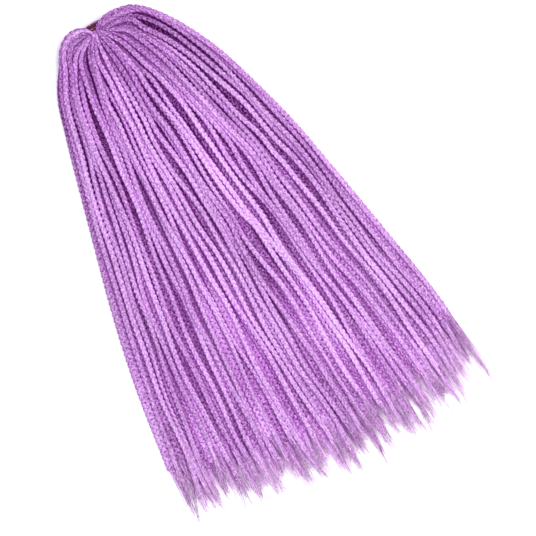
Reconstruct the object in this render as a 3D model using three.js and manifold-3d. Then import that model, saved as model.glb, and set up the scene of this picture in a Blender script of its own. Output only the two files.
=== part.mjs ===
// A bundle of crochet box braids, gathered by an elastic band and lying spread out in a fan.
// Millimetres. The fan runs along -Y from its band, +X is to its right seen from above, and +Z is up.
import * as THREE from "three";
import { mergeVertices } from "three/addons/utils/BufferGeometryUtils.js";
import Module from "manifold-3d";

// Braids
const braidColumns = 18; // braids side by side in one layer of the pile
const braidLength = 457; // from the band to the tip
const braidLengthSpread = 22; // how much shorter than its neighbours a braid may be
const braidWidth = 5.8;
const braidThickness = 5;
const neckLength = 30; // over which the squeezed neck grows to the full braid
const looseTipLength = 45; // unbraided hair at the end
const tipWidth = 1.4;
const tipThickness = 1;
const braidGap = 0.35; // between braids
const strayTravel = 1.1; // how far each braid strays sideways from its even place
const strayPitch = 260; // length of one stray to both sides

// Elastic band: an oval of cord turns side by side
const bandHalfWidth = 12.6; // to the inside of the band
const bandHalfHeight = 7;
const bandTurns = 3;
const bandCord = 1.6;
const bandGap = 0.3; // between the band and the braids in it
const bandFill = 0.84; // share of the band's width that the braids in it take up
const bandClearance = 1.2; // between the band and the surface
const bandSides = 24;

// Fan
const fanHalfWidth = 157; // at the tips
const fanLag = 50; // how far the outermost braids stay behind the middle ones
const loopReach = 5; // how far the braids' loop ends stand out behind the band
const loopTieDepth = 2.5; // length over which the two braids of a pair are joined

// The layer that each of four neighbours across the fan lies in, from the surface up
const layerOfPlace = [0, 2, 1, 3];

// Sections across the fan. run is a share of braidLength, left and right are the outermost braids'
// shares of the way from the band's edge to fanHalfWidth, the lags are shares of fanLag, and the
// sweeps are the degrees that the section has turned by at its left and right ends.
const fanSections = [
  { run: 0, left: 0, leftLag: 0, leftSweep: 5, right: 0, rightLag: 0, rightSweep: 5 },
  { run: 0.013, left: 0.034, leftLag: 0.08, leftSweep: 60, right: 0.035, rightLag: 0.08, rightSweep: 60 },
  { run: 0.031, left: 0.085, leftLag: 0.31, leftSweep: 88, right: 0.088, rightLag: 0.31, rightSweep: 90 },
  { run: 0.057, left: 0.156, leftLag: 0.51, leftSweep: 72, right: 0.166, rightLag: 0.57, rightSweep: 80 },
  { run: 0.092, left: 0.242, leftLag: 0.58, leftSweep: 50, right: 0.255, rightLag: 0.7, rightSweep: 56 },
  { run: 0.14, left: 0.326, leftLag: 0.65, leftSweep: 36, right: 0.35, rightLag: 0.8, rightSweep: 40 },
  { run: 0.219, left: 0.41, leftLag: 0.69, leftSweep: 24, right: 0.466, rightLag: 0.88, rightSweep: 27 },
  { run: 0.37, left: 0.55, leftLag: 0.76, leftSweep: 18, right: 0.605, rightLag: 0.94, rightSweep: 19 },
  { run: 0.72, left: 0.845, leftLag: 0.87, leftSweep: 14, right: 0.78, rightLag: 0.98, rightSweep: 12 },
  { run: 0.902, left: 0.95, leftLag: 0.9, leftSweep: 13, right: 0.855, rightLag: 1, rightSweep: 11 },
  { run: 1, left: 1, leftLag: 0.92, leftSweep: 13, right: 0.87, rightLag: 1, rightSweep: 10 },
];

// Lengths of the braids across the fan, from its left edge (-1) to its right edge (1).
const lengthTable = [
  { place: -1, length: 1 },
  { place: -0.7, length: 0.985 },
  { place: 0.2, length: 1.005 },
  { place: 0.6, length: 1.035 },
  { place: 0.77, length: 1.06 },
  { place: 0.9, length: 1.03 },
  { place: 1, length: 1.03 },
];

const degrees = Math.PI / 180;
const golden = (Math.sqrt(5) - 1) / 2;
const layers = layerOfPlace.length;
const braidCount = Math.round(braidColumns) * layers;
const turns = Math.round(bandTurns);
const bandWidth = turns * bandCord;
const gateFront = bandWidth / 2 + bandGap; // where the braids leave the band
const shortestBraidedEnd =
  Math.min(...lengthTable.map((row) => row.length)) * braidLength - braidLengthSpread - looseTipLength;
const gateMiddle = bandClearance + bandCord + bandHalfHeight; // height of the band's centre
const gateHalfWidth = bandFill * bandHalfWidth;

const clamp = THREE.MathUtils.clamp;
const lerp = THREE.MathUtils.lerp;
const smooth = (value) => THREE.MathUtils.smoothstep(value, 0, 1);

// An even scatter of values from 0 to 1 that is the same each time.
const scatter = (index, seed) => (index * golden + seed * 0.37) % 1;

// Value of a table's column between the rows whose key column lies around a position.
function fromTable(table, key, column, position) {
  let row = 1;
  while (row < table.length - 1 && table[row][key] < position) row++;
  const [before, after] = [table[row - 1], table[row]];
  const part = (position - before[key]) / (after[key] - before[key]);
  return lerp(before[column], after[column], part);
}

// One side of a section: an arc that starts square to the fan's middle line and has turned by the
// sweep at the fan's edge.
function sectionSide(share, lagShare, sweep) {
  const reach = gateHalfWidth + share * (fanHalfWidth - gateHalfWidth);
  const angle = sweep * degrees;
  const across = (turn) => (reach * Math.sin(angle * turn)) / Math.sin(angle);
  const back = (turn) => (lagShare * fanLag * (1 - Math.cos(angle * turn))) / (1 - Math.cos(angle));
  const steps = 60;
  const marks = [{ turn: 0, length: 0, across: 0, back: 0 }];
  for (let k = 1; k <= steps; k++) {
    const last = marks[k - 1];
    const next = { turn: k / steps, across: across(k / steps), back: back(k / steps) };
    next.length = last.length + Math.hypot(next.across - last.across, next.back - last.back);
    marks.push(next);
  }
  return { marks, length: marks[steps].length };
}

const sections = fanSections.map((row) => ({
  run: row.run * braidLength,
  left: sectionSide(row.left, row.leftLag, row.leftSweep),
  right: sectionSide(row.right, row.rightLag, row.rightSweep),
}));

// Where a share (-1 left edge, 1 right edge) of a section lies in plan, and which way the section
// runs there.
function sectionPoint(section, share) {
  const side = share < 0 ? section.left : section.right;
  const sign = share < 0 ? -1 : 1;
  const wanted = Math.abs(share) * side.length;
  const at = (length) =>
    new THREE.Vector2(
      sign * fromTable(side.marks, "length", "across", length),
      fromTable(side.marks, "length", "back", length) - gateFront - section.run,
    );
  const step = side.length / 100;
  const tangent = at(wanted + step).sub(at(wanted - step)).multiplyScalar(sign).normalize();
  return { point: at(wanted), tangent, distance: sign * wanted };
}

// The thickness of the necks inside the band, so that all layers fill the oval there.
function neckThickness(across) {
  const oval = bandHalfHeight * Math.sqrt(1 - (across / bandHalfWidth) ** 2);
  return (2 * (oval - bandGap) - (layers - 1) * braidGap) / layers;
}

// One braid's place in the fan and its nodes, each a ring to be drawn later.
function placeBraid(index) {
  const place = ((index + 0.5) / braidCount) * 2 - 1;
  const layer = layerOfPlace[index % layers];
  const share = fromTable(lengthTable, "place", "length", place);
  const length = share * braidLength - braidLengthSpread * scatter(index, 1);
  const braidedEnd = length - looseTipLength;
  const runs = sections.map((section) => section.run).filter((run) => run < shortestBraidedEnd);
  runs.push(braidedEnd, length);
  const nodes = runs.map((run) => {
    const grown = smooth(run / neckLength);
    const loose = clamp((run - braidedEnd) / looseTipLength, 0, 1);
    const after = clamp(
      sections.findIndex((section) => section.run > run),
      1,
      sections.length - 1,
    );
    const last = run > sections[sections.length - 1].run ? sections.length - 1 : after;
    const [near, far] = [sections[last - 1], sections[last]];
    const stray = strayTravel * Math.sin(2 * Math.PI * (run / strayPitch + scatter(index, 3)));
    const shareHere = place + (stray * grown) / ((far.left.length + far.right.length) / 2);
    const [from, to] = [sectionPoint(near, shareHere), sectionPoint(far, shareHere)];
    const part = (run - near.run) / (far.run - near.run);
    const neck = neckThickness(Math.abs(place) * gateHalfWidth);
    return {
      run,
      grown,
      point: from.point.clone().lerp(to.point, part),
      tangent: from.tangent.clone().lerp(to.tangent, part).normalize(),
      across: lerp(from.distance, to.distance, part),
      width: lerp(braidWidth, tipWidth, loose),
      thickness: lerp(lerp(neck, braidThickness, grown), tipThickness, loose),
    };
  });
  const [gate] = nodes;
  const root = { ...gate, run: -(bandWidth + bandGap + loopReach) };
  root.point = new THREE.Vector2(gate.point.x, gate.point.y - root.run);
  nodes.unshift(root);
  return { index, place, layer, length, nodes };
}

// The state of a braid at a distance along it, on the straight line between its nodes.
function stateAt(braid, run) {
  const state = {};
  for (const column of ["across", "width", "thickness", "height"]) {
    state[column] = fromTable(braid.nodes, "run", column, run);
  }
  return state;
}

// Necks and crowded braids are squeezed to the room that their layer leaves them.
function squeezeWidths(braids) {
  for (const braid of braids) {
    braid.nodes.forEach((node) => {
      const beside = braids.filter(
        (other) => other.layer === braid.layer && Math.abs(other.index - braid.index) === layers,
      );
      for (const other of beside) {
        const room = Math.abs(stateAt(other, node.run).across - node.across) - braidGap;
        node.room = Math.min(node.room ?? Infinity, room);
      }
    });
  }
  for (const braid of braids) {
    for (const node of braid.nodes) node.width = Math.min(node.width, node.room);
  }
}

const fixedNodes = 2; // the nodes at both ends of the band
const samplesBetweenNodes = 12;

// How much further a braid has to rise to lie one gap off another one at a distance along it.
function liftOff(upperBraid, lowerBraid, run) {
  if (run > lowerBraid.length) return 0;
  const [upper, lower] = [stateAt(upperBraid, run), stateAt(lowerBraid, run)];
  const beside = Math.abs(upper.across - lower.across);
  const overlap = 1 - beside / ((upper.width + lower.width) / 2 + braidGap);
  const apart = (upper.thickness + lower.thickness) / 2 + braidGap;
  return overlap > 0 ? apart * Math.min(1, 2 * overlap) - (upper.height - lower.height) : 0;
}

// Heights, layer by layer: the lowest braids lie on the surface, and each other braid lies on the
// braids of the layers below it that it crosses, one gap apart.
function stackLayers(braids) {
  for (const braid of braids) {
    braid.nodes.forEach((node, k) => {
      const pileHeight = layers * node.thickness + (layers - 1) * braidGap;
      const inBand = gateMiddle - pileHeight / 2 + node.thickness / 2;
      if (k < fixedNodes) node.height = inBand + braid.layer * (node.thickness + braidGap);
      else node.height = lerp(inBand, node.thickness / 2, smooth((2 * node.run) / neckLength));
    });
  }
  const byLayer = [...braids].sort((a, b) => a.layer - b.layer);
  for (const braid of byLayer) {
    const below = braids.filter(
      (other) => other.layer < braid.layer && Math.abs(other.index - braid.index) < 2 * layers,
    );
    const wantedLift = (run) => Math.max(0, ...below.map((other) => liftOff(braid, other, run)));
    for (const node of braid.nodes.slice(fixedNodes)) node.height += wantedLift(node.run);
    for (let k = fixedNodes - 1; k + 1 < braid.nodes.length; k++) {
      const [from, to] = [braid.nodes[k], braid.nodes[k + 1]];
      for (let sample = 1; sample < samplesBetweenNodes; sample++) {
        const lift = wantedLift(lerp(from.run, to.run, sample / samplesBetweenNodes));
        to.height += lift;
        if (k >= fixedNodes) from.height += lift;
      }
    }
  }
}

// A closed solid through rings of equal numbers of points that turn the same way.
function loft(rings, closed = false) {
  const sides = rings[0].length;
  const index = [];
  const bands = closed ? rings.length : rings.length - 1;
  for (let r = 0; r < bands; r++) {
    const next = ((r + 1) % rings.length) * sides;
    for (let k = 0; k < sides; k++) {
      const [a, b] = [k, (k + 1) % sides];
      index.push(r * sides + a, r * sides + b, next + a);
      index.push(r * sides + b, next + b, next + a);
    }
  }
  const end = (rings.length - 1) * sides;
  for (let k = 1; k + 1 < sides && !closed; k++) {
    index.push(0, k + 1, k);
    index.push(end, end + k, end + k + 1);
  }
  const geometry = new THREE.BufferGeometry();
  const positions = rings.flat().flatMap((point) => point.toArray());
  geometry.setAttribute("position", new THREE.Float32BufferAttribute(positions, 3));
  geometry.setIndex(index);
  geometry.computeVertexNormals();
  return geometry;
}

// A braid's section: six corners, flat below and above, as shares of half its width and thickness.
const braidCorners = [
  { side: 1, up: 0 },
  { side: 0.5, up: 1 },
  { side: -0.5, up: 1 },
  { side: -1, up: 0 },
  { side: -0.5, up: -1 },
  { side: 0.5, up: -1 },
];

function braidGeometry(braid) {
  const rings = braid.nodes.map((node) =>
    braidCorners.map(({ side, up }) => {
      const plan = node.point.clone().addScaledVector(node.tangent, (side * node.width) / 2);
      return new THREE.Vector3(plan.x, plan.y, node.height + (up * node.thickness) / 2);
    }),
  );
  return loft(rings);
}

const wasm = await Module();
wasm.setup();

function toSolid(geometry) {
  const bare = geometry.clone();
  bare.deleteAttribute("normal");
  bare.deleteAttribute("uv");
  const merged = mergeVertices(bare, 1e-5);
  return new wasm.Manifold(
    new wasm.Mesh({
      numProp: 3,
      vertProperties: new Float32Array(merged.attributes.position.array),
      triVerts: new Uint32Array(merged.index.array),
    }),
  );
}

function toGeometry(solid) {
  const mesh = solid.getMesh();
  const geometry = new THREE.BufferGeometry();
  geometry.setAttribute("position", new THREE.Float32BufferAttribute(mesh.vertProperties, 3));
  geometry.setIndex([...mesh.triVerts]);
  geometry.computeVertexNormals();
  return geometry;
}

// Two neighbouring braids of the lower layers with their loop ends grown together.
function pairGeometry(lower, upper) {
  const [a, b] = [lower.nodes[0], upper.nodes[0]];
  const joint = new THREE.BoxGeometry(
    Math.min(a.width, b.width) / 2,
    loopTieDepth,
    Math.abs(b.height - a.height),
  );
  const middle = a.point.clone().add(b.point).divideScalar(2);
  joint.translate(middle.x, middle.y - loopTieDepth, (a.height + b.height) / 2);
  const solids = [braidGeometry(lower), braidGeometry(upper), joint].map(toSolid);
  return toGeometry(solids[0].add(solids[1]).add(solids[2]));
}

// The band's section is flat inside, with one bulge for each turn of the cord.
function bandGeometry() {
  const radius = bandCord / 2;
  const profile = [{ out: 0, along: radius / 2 - bandWidth / 2 }];
  for (let turn = 0; turn < turns; turn++) {
    const centre = (turn + 0.5) * bandCord - bandWidth / 2;
    for (const angle of [-60, 0, 60]) {
      profile.push({
        out: radius + radius * Math.cos(angle * degrees),
        along: centre + radius * Math.sin(angle * degrees),
      });
    }
  }
  profile.push({ out: 0, along: bandWidth / 2 - radius / 2 });
  const rings = Array.from({ length: bandSides }, (_, k) => {
    const angle = (2 * Math.PI * k) / bandSides;
    const [c, s] = [Math.cos(angle), Math.sin(angle)];
    const normal = new THREE.Vector2(c / bandHalfWidth, s / bandHalfHeight).normalize();
    return profile.map(
      ({ out, along }) =>
        new THREE.Vector3(
          bandHalfWidth * c + out * normal.x,
          along,
          gateMiddle + bandHalfHeight * s + out * normal.y,
        ),
    );
  });
  return loft(rings, true);
}

const hair = new THREE.MeshStandardMaterial({ color: 0xc587d3, roughness: 0.5, metalness: 0 });
const shadedHair = new THREE.MeshStandardMaterial({ color: 0x9f61ae, roughness: 0.55, metalness: 0 });
const elastic = new THREE.MeshStandardMaterial({ color: 0x5f1e23, roughness: 0.7, metalness: 0 });

const bundle = new THREE.Group();

function addPiece(name, geometry, material) {
  const mesh = new THREE.Mesh(geometry, material);
  mesh.name = name;
  bundle.add(mesh);
}

const numbered = (name, number) => `${name}_${String(number).padStart(2, "0")}`;

const braids = Array.from({ length: braidCount }, (_, index) => placeBraid(index));
squeezeWidths(braids);
stackLayers(braids);

const upperBraids = braids.filter((braid) => braid.layer >= layers / 2);
upperBraids.forEach((braid, n) => addPiece(numbered("braid", n + 1), braidGeometry(braid), hair));

const lowerBraids = braids.filter((braid) => braid.layer < layers / 2);
for (let n = 0; n + 1 < lowerBraids.length; n += 2) {
  const geometry = pairGeometry(lowerBraids[n], lowerBraids[n + 1]);
  addPiece(numbered("under_pair", n / 2 + 1), geometry, shadedHair);
}

addPiece("tie_band", bandGeometry(), elastic);

// The origin is under the middle of the bundle, on the surface.
const bounds = new THREE.Box3().setFromObject(bundle);
const middle = bounds.getCenter(new THREE.Vector3());
bundle.position.set(-middle.x, -middle.y, -bounds.min.z);

export default bundle;
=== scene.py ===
import math

import bpy
import numpy as np
from mathutils import Matrix, Vector


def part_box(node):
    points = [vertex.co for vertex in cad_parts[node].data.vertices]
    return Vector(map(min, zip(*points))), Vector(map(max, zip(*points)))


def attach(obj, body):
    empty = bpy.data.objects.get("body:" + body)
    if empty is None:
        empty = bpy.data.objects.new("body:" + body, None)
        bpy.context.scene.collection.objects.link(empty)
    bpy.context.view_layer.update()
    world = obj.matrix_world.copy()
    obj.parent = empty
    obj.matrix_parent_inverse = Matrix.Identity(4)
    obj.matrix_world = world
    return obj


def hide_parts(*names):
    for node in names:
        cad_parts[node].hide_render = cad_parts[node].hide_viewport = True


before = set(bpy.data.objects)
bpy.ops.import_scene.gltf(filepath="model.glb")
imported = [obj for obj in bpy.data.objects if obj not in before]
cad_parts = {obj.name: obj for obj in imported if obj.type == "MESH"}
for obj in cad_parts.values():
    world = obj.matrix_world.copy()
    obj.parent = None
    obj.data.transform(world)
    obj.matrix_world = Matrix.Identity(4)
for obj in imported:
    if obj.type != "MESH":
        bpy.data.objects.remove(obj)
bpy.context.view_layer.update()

bl_info = {
    "name": "Crochet box braids",
    "version": (1, 0, 0),
    "blender": (4, 5, 0),
    "location": "View3D > Sidebar > Braids",
    "description": "Plaits a bundle of box braids and winds the elastic that gathers them",
    "category": "Add Mesh",
}

FLOOR_GAP = 0.0003  # between the lowest braids and the floor
TAU = 2 * math.pi
GOLDEN = (math.sqrt(5) - 1) / 2
SCATTER_STEP = 0.37  # between the scatters of two seeds
ARC_STEPS = 61  # along one side of a section across the fan
LAYER_OF_PLACE = (0, 2, 1, 3)  # the layer that each of four neighbours lies in, from the floor up
LAYERS = len(LAYER_OF_PLACE)
TIE_LOW, TIE_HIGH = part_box("tie_band")
TIE = (TIE_LOW + TIE_HIGH) / 2

# Sections across the fan. run is a share of the braid length, left and right are the outermost
# braids' shares of the way from the tie's edge to the fan's half width, the lags are shares of the
# fan's lag, and the sweeps are the degrees that the section has turned by at its two ends.
FAN_COLUMNS = ("run", "left", "left_lag", "left_sweep", "right", "right_lag", "right_sweep")
FAN_SECTIONS = (
    (0, 0, 0, 5, 0, 0, 5),
    (0.013, 0.034, 0.08, 60, 0.035, 0.08, 60),
    (0.031, 0.085, 0.31, 88, 0.088, 0.31, 90),
    (0.057, 0.156, 0.51, 72, 0.166, 0.57, 80),
    (0.092, 0.242, 0.58, 50, 0.255, 0.7, 56),
    (0.14, 0.326, 0.65, 36, 0.35, 0.8, 40),
    (0.219, 0.41, 0.69, 24, 0.466, 0.88, 27),
    (0.37, 0.55, 0.76, 18, 0.605, 0.94, 19),
    (0.72, 0.845, 0.87, 14, 0.78, 0.98, 12),
    (0.902, 0.95, 0.9, 13, 0.855, 1, 11),
    (1, 1, 0.92, 13, 0.87, 1, 10),
)

# How the braids crowd and part: waves from the middle of the fan to its edge, the share by which
# they crowd, how many waves the partings drift sideways from the tie to the tips, and their start.
PARTINGS = ((2.3, 0.2, 0.5, 0.15), (5.3, 0.3, -0.8, 0.6), (11.3, 0.5, 1.3, 0.35))

# Deep partings between the upper braids: from and to which run they lie open, at which place of the
# fan they start and end there, and how wide they are.
DEEP_PARTINGS = (
    (0.024, 0.15, 0.8, 0.75, 0.0075),
    (0.018, 0.09, 0.54, 0.57, 0.004),
    (0.03, 0.1, -0.6, -0.6, 0.004),
    (0.12, 0.22, -0.82, -0.86, 0.0035),
    (0.008, 0.085, -0.16, -0.36, 0.0035),
    (0.05, 0.18, 0.21, 0.43, 0.0045),
    (0.09, 0.19, 0.02, -0.08, 0.004),
    (0.21, 0.35, 0.18, 0.07, 0.006),
    (0.2, 0.3, 0.67, 0.72, 0.0045),
    (0.26, 0.33, 0.92, 0.9, 0.003),
    (0.25, 0.38, -0.4, -0.5, 0.0045),
)
PARTING_REACH = 0.15  # how far across the fan a deep parting pushes braids aside

# The arch of the outermost braids over the elastic: run, distance from the middle, share of the way
# back behind the tie, and height.
ARCH = (
    (-0.012, 0.0035, -0.6, 0.012),
    (-0.004, 0.0042, -0.1, 0.017),
    (0, 0.0055, 0.4, 0.0205),
    (0.006, 0.0105, 0.85, 0.021),
    (0.014, 0.0185, 1, 0.0195),
    (0.026, 0.0305, 0.75, 0.016),
    (0.06, 0.062, -1.5, 0.01),
)
NECK_SHARE = (0.54, 0.2)  # of its full width that a neck shows, on top and in the lower layers
NECK_REACH = (0.04, 0.06)  # over which those necks grow to full braids
NECK_START = -0.002  # where they begin to grow
NECK_RISE = 0.002  # of every other braid of the top layer, beside the tie
ARCH_START = -0.0045  # where the arches rise, in front of the tie's middle
ARCH_SHIFT = 0.0024  # how far the right arches lean over the elastic
ARCH_BACK = (0.005, 0.002)  # how far they go back on the left and on the right
ARCH_RANK = 0.002  # by which each next braid stays in front of the one outside it
ARCH_LIFT = 0.0005  # by which it lies higher
ARCH_WEIGHT, ARCH_BRAIDS = 1.2, 5  # the arch of the outermost braid, and over how many it fades
ARCH_WIDTH = 0.52  # of its full width that an arch shows over the tie
ARCH_WIDE_FROM = 0.3  # share of the arch in a braid from which it keeps that width

# From which run, and over what length, something sets in or ends along the braids.
CROWDING_ENDS = (0, 0.2)
GROWTH_SETS_IN = (0.2, 0.2)
PRESSING_SETS_IN = (0, 0.2)
TIE_ENDS = (0.001, 0.012)
BOB_SETS_IN = (0, 0.08)
NECK_RISES, NECK_FALLS = (-0.001, 0.01), (0.02, 0.05)
LEAN_ENDS = (0.004, 0.014)
RANK_SETS_IN = (-0.004, 0.012)
ARCH_ENDS = (0.018, 0.026)
ARCH_WIDENS = (0, 0.024)

PARTING_MIDDLE = 0.03  # across the fan, where a deep parting's push turns to the other side
PARTING_OPENS, PARTING_CLOSES = 0.02, 0.04  # along the braids
LOWER_CLOSES = 0.4  # how far the lower braids close a deep parting
EDGE = 0.1  # of the fan, where braids keep in line
EDGE_SHIFT, EDGE_SWAY = 0.25, 0.4  # how far they still move there
LOWER_SWAY = 0.4  # of the lower braids, against the upper ones
FULL_SWAY = 0.75  # of its half width that the fan needs for the full sway
SECOND_SWAY, SECOND_PITCH = 0.5, 0.43  # a finer sway, as shares of the first
BOB_PITCH = 0.6  # as a share of the sway's
LOOP_SHARE = 0.3  # of the loop reach that the braids stand out behind the tie
BEYOND = 0.12  # how far the routes go on past the fan, as a share of it
TAPER, TAPER_LENGTH = 0.18, 0.2  # how much narrower a braid gets, and over what length
BLUR_ROWS, BLUR = 4, 1.6  # rows over which the heights are smoothed
TIP_HEIGHT, TIP_DROP = 0.0035, 0.8  # of the loose tips, and how far they come down to it

# Places across the fan, from its left edge (-1) to its right edge (1), and the lengths there.
PLACES = (-1, -0.7, 0.2, 0.6, 0.77, 0.9, 1)
LENGTHS = (1, 0.985, 1.005, 1.035, 1.06, 1.03, 1.03)


def kind_of(make, **settings):
    """A kind of property that is then given a name, a description and a default."""

    def made(name, description, default):
        return make(name=name, description=description, default=default, **settings)

    return made


distance = kind_of(bpy.props.FloatProperty, unit="LENGTH", min=0.0, precision=4)
share = kind_of(bpy.props.FloatProperty, min=0.0)
count = kind_of(bpy.props.IntProperty, min=1)
colour_of = kind_of(bpy.props.FloatVectorProperty, subtype="COLOR", min=0.0, max=1.0)


class BraidSizes(bpy.types.PropertyGroup):
    columns: count("Columns", "Braids side by side in one layer", 18)
    length: distance("Length", "From the tie to the tip", 0.457)
    length_spread: distance("Length spread", "How much shorter a braid may be", 0.022)
    width: distance("Width", "Width of a full braid", 0.0056)
    thickness: distance("Thickness", "Thickness of a full braid", 0.005)
    neck: distance("Neck", "Over which a squeezed neck grows to the full braid", 0.030)
    loose_tip: distance("Loose tip", "Unbraided hair at the end", 0.032)
    gap: distance("Gap", "Between neighbouring braids", 0.00035)
    sway: distance("Sway", "How far a braid sways sideways", 0.0013)
    # Painted shade: the lower braids' deeper colour stands in for the shade under the upper braids.
    lower_tint: share("Lower tint", "How much deeper the lower braids' colour is", 4.5)
    bob: distance("Bob", "How far a braid rises off those below it", 0.0014)
    sink: share("Sink", "How far braids press into those below them", 0.4)
    sway_pitch: distance("Sway pitch", "Length of one sway to both sides", 0.21)
    tip_growth: share("Tip growth", "How much wider the braids lie near the tips", 0.22)
    width_spread: share("Width spread", "How much a braid's width varies", 0.08)
    lower_cover: share("Lower cover", "Of the floor, by the lower braids' widths", 1.5)
    tie_crowding: share("Crowding at the tie", "How much more they crowd there", 0.4)
    lower_follow: share("Lower follow", "How far the lower braids close the partings", 0.5)
    stitch: distance("Stitch", "Length of one full round of a strand", 0.0158)
    fan_half_width: distance("Fan half width", "At the tips", 0.157)
    fan_lag: distance("Fan lag", "How far the outermost braids stay behind", 0.050)
    loop_reach: distance("Loop reach", "How far the loop ends stand out", 0.005)
    brush_over: distance("Brush over", "Of the longest hairs beyond the braid's length", 0.036)
    left_over: distance("Left over", "How much further they reach at the left edge", 0.017)
    right_over: distance("Right over", "How much further they reach at the right edge", 0.033)
    tip_hairs: count("Tip hairs", "Locks in each loose tip", 132)
    seed: count("Seed", "Fixes all random values", 7)
    lit_hair: colour_of("Lit hair", "Colour of the lighter fibres", (0.585, 0.415, 0.635))
    # The darker fibres' colour, which the painted shade tint of the lower braids and near the tie
    # also pulls towards.
    deep_hair: colour_of("Deep hair", "Colour of the darker fibres", (0.455, 0.12, 0.535))
    # Painted shade in the grooves: the sides and lower halves of the braids, and hair where the
    # shade is low, are mixed towards this colour.
    groove_hair: colour_of("Groove hair", "Colour of the edges of a braid", (0.42, 0.055, 0.5))
    # A painted glow: the hair's emission colour, lifting the darks with purple as if light passed
    # through the hair.
    inner_light: colour_of("Inner light", "Light that passes through the hair", (0.62, 0.03, 0.72))
    # Pale ends: partly the thin hair's own paler colour, partly painted light standing in for light
    # passing through thin hair.
    pale_tip: colour_of("Pale tip", "Colour of the thin ends", (0.82, 0.665, 0.81))


class TieSizes(bpy.types.PropertyGroup):
    half_width: distance("Half width", "To the inside of the oval", 0.0126)
    half_height: distance("Half height", "To the inside of the oval", 0.007)
    cord: distance("Cord", "Diameter of the elastic cord", 0.0016)
    winding: distance("Winding", "From one turn to the next", 0.0022)
    turns: count("Turns", "Turns round the necks", 3)
    gap: distance("Gap", "Between the elastic and the necks", 0.0003)
    fill: share("Fill", "Share of the width that the necks take up", 0.84)
    clearance: distance("Clearance", "Between the elastic and the floor", 0.0012)
    colour: colour_of("Colour", "Colour of the elastic", (0.06, 0.003, 0.008))
    gilt: colour_of("Gilt", "Colour of the paler yarn in it", (0.3, 0.07, 0.035))


class StageSizes(bpy.types.PropertyGroup):
    view_width: distance("View width", "Width of floor that the picture shows", 0.4855)
    camera_height: distance("Camera height", "Above the floor", 1.7)
    floor: colour_of("Floor", "Colour of the floor", (0.96, 0.96, 0.96))


def lerp(a, b, part):
    return a + (b - a) * part


def smooth(values):
    values = np.clip(values, 0, 1)
    return values * values * (3 - 2 * values)


def ramp(run, start, reach):
    """Rises smoothly from 0 to 1 over a reach from the start."""
    return smooth((run - start) / reach)


def scatter(index, seed):
    """An even scatter of values from 0 to 1 that is the same each time."""
    return (index * GOLDEN + seed * SCATTER_STEP) % 1


def side_arc(reach, lag, sweep):
    """One side of a section across the fan: its lengths, and how far out and back it is there."""
    turn = np.linspace(0, 1, ARC_STEPS) * math.radians(sweep)
    across = reach * np.sin(turn) / math.sin(turn[-1])
    back = lag * (1 - np.cos(turn)) / (1 - math.cos(turn[-1]))
    steps = np.hypot(np.diff(across), np.diff(back))
    return np.concatenate([[0], np.cumsum(steps)]), across, back


def rounded(runs, knots, values):
    """A smooth curve through the values at the knots; values may hold a column for each braid."""
    step = np.diff(knots).reshape((-1,) + (1,) * (values.ndim - 1))
    slope = np.diff(values, axis=0) / step
    grade = np.zeros(values.shape)
    grade[1:-1] = (slope[:-1] * step[1:] + slope[1:] * step[:-1]) / (step[:-1] + step[1:])
    grade[0], grade[-1] = slope[0], slope[-1]
    k = np.clip(np.searchsorted(knots, runs) - 1, 0, len(knots) - 2)
    t = ((runs - knots[k]) / np.diff(knots)[k]).reshape((-1,) + (1,) * (values.ndim - 1))
    start = (2 * t**3 - 3 * t**2 + 1) * values[k] + (t**3 - 2 * t**2 + t) * grade[k] * step[k]
    end = (3 * t**2 - 2 * t**3) * values[k + 1] + (t**3 - t**2) * grade[k + 1] * step[k]
    return start + end


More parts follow.
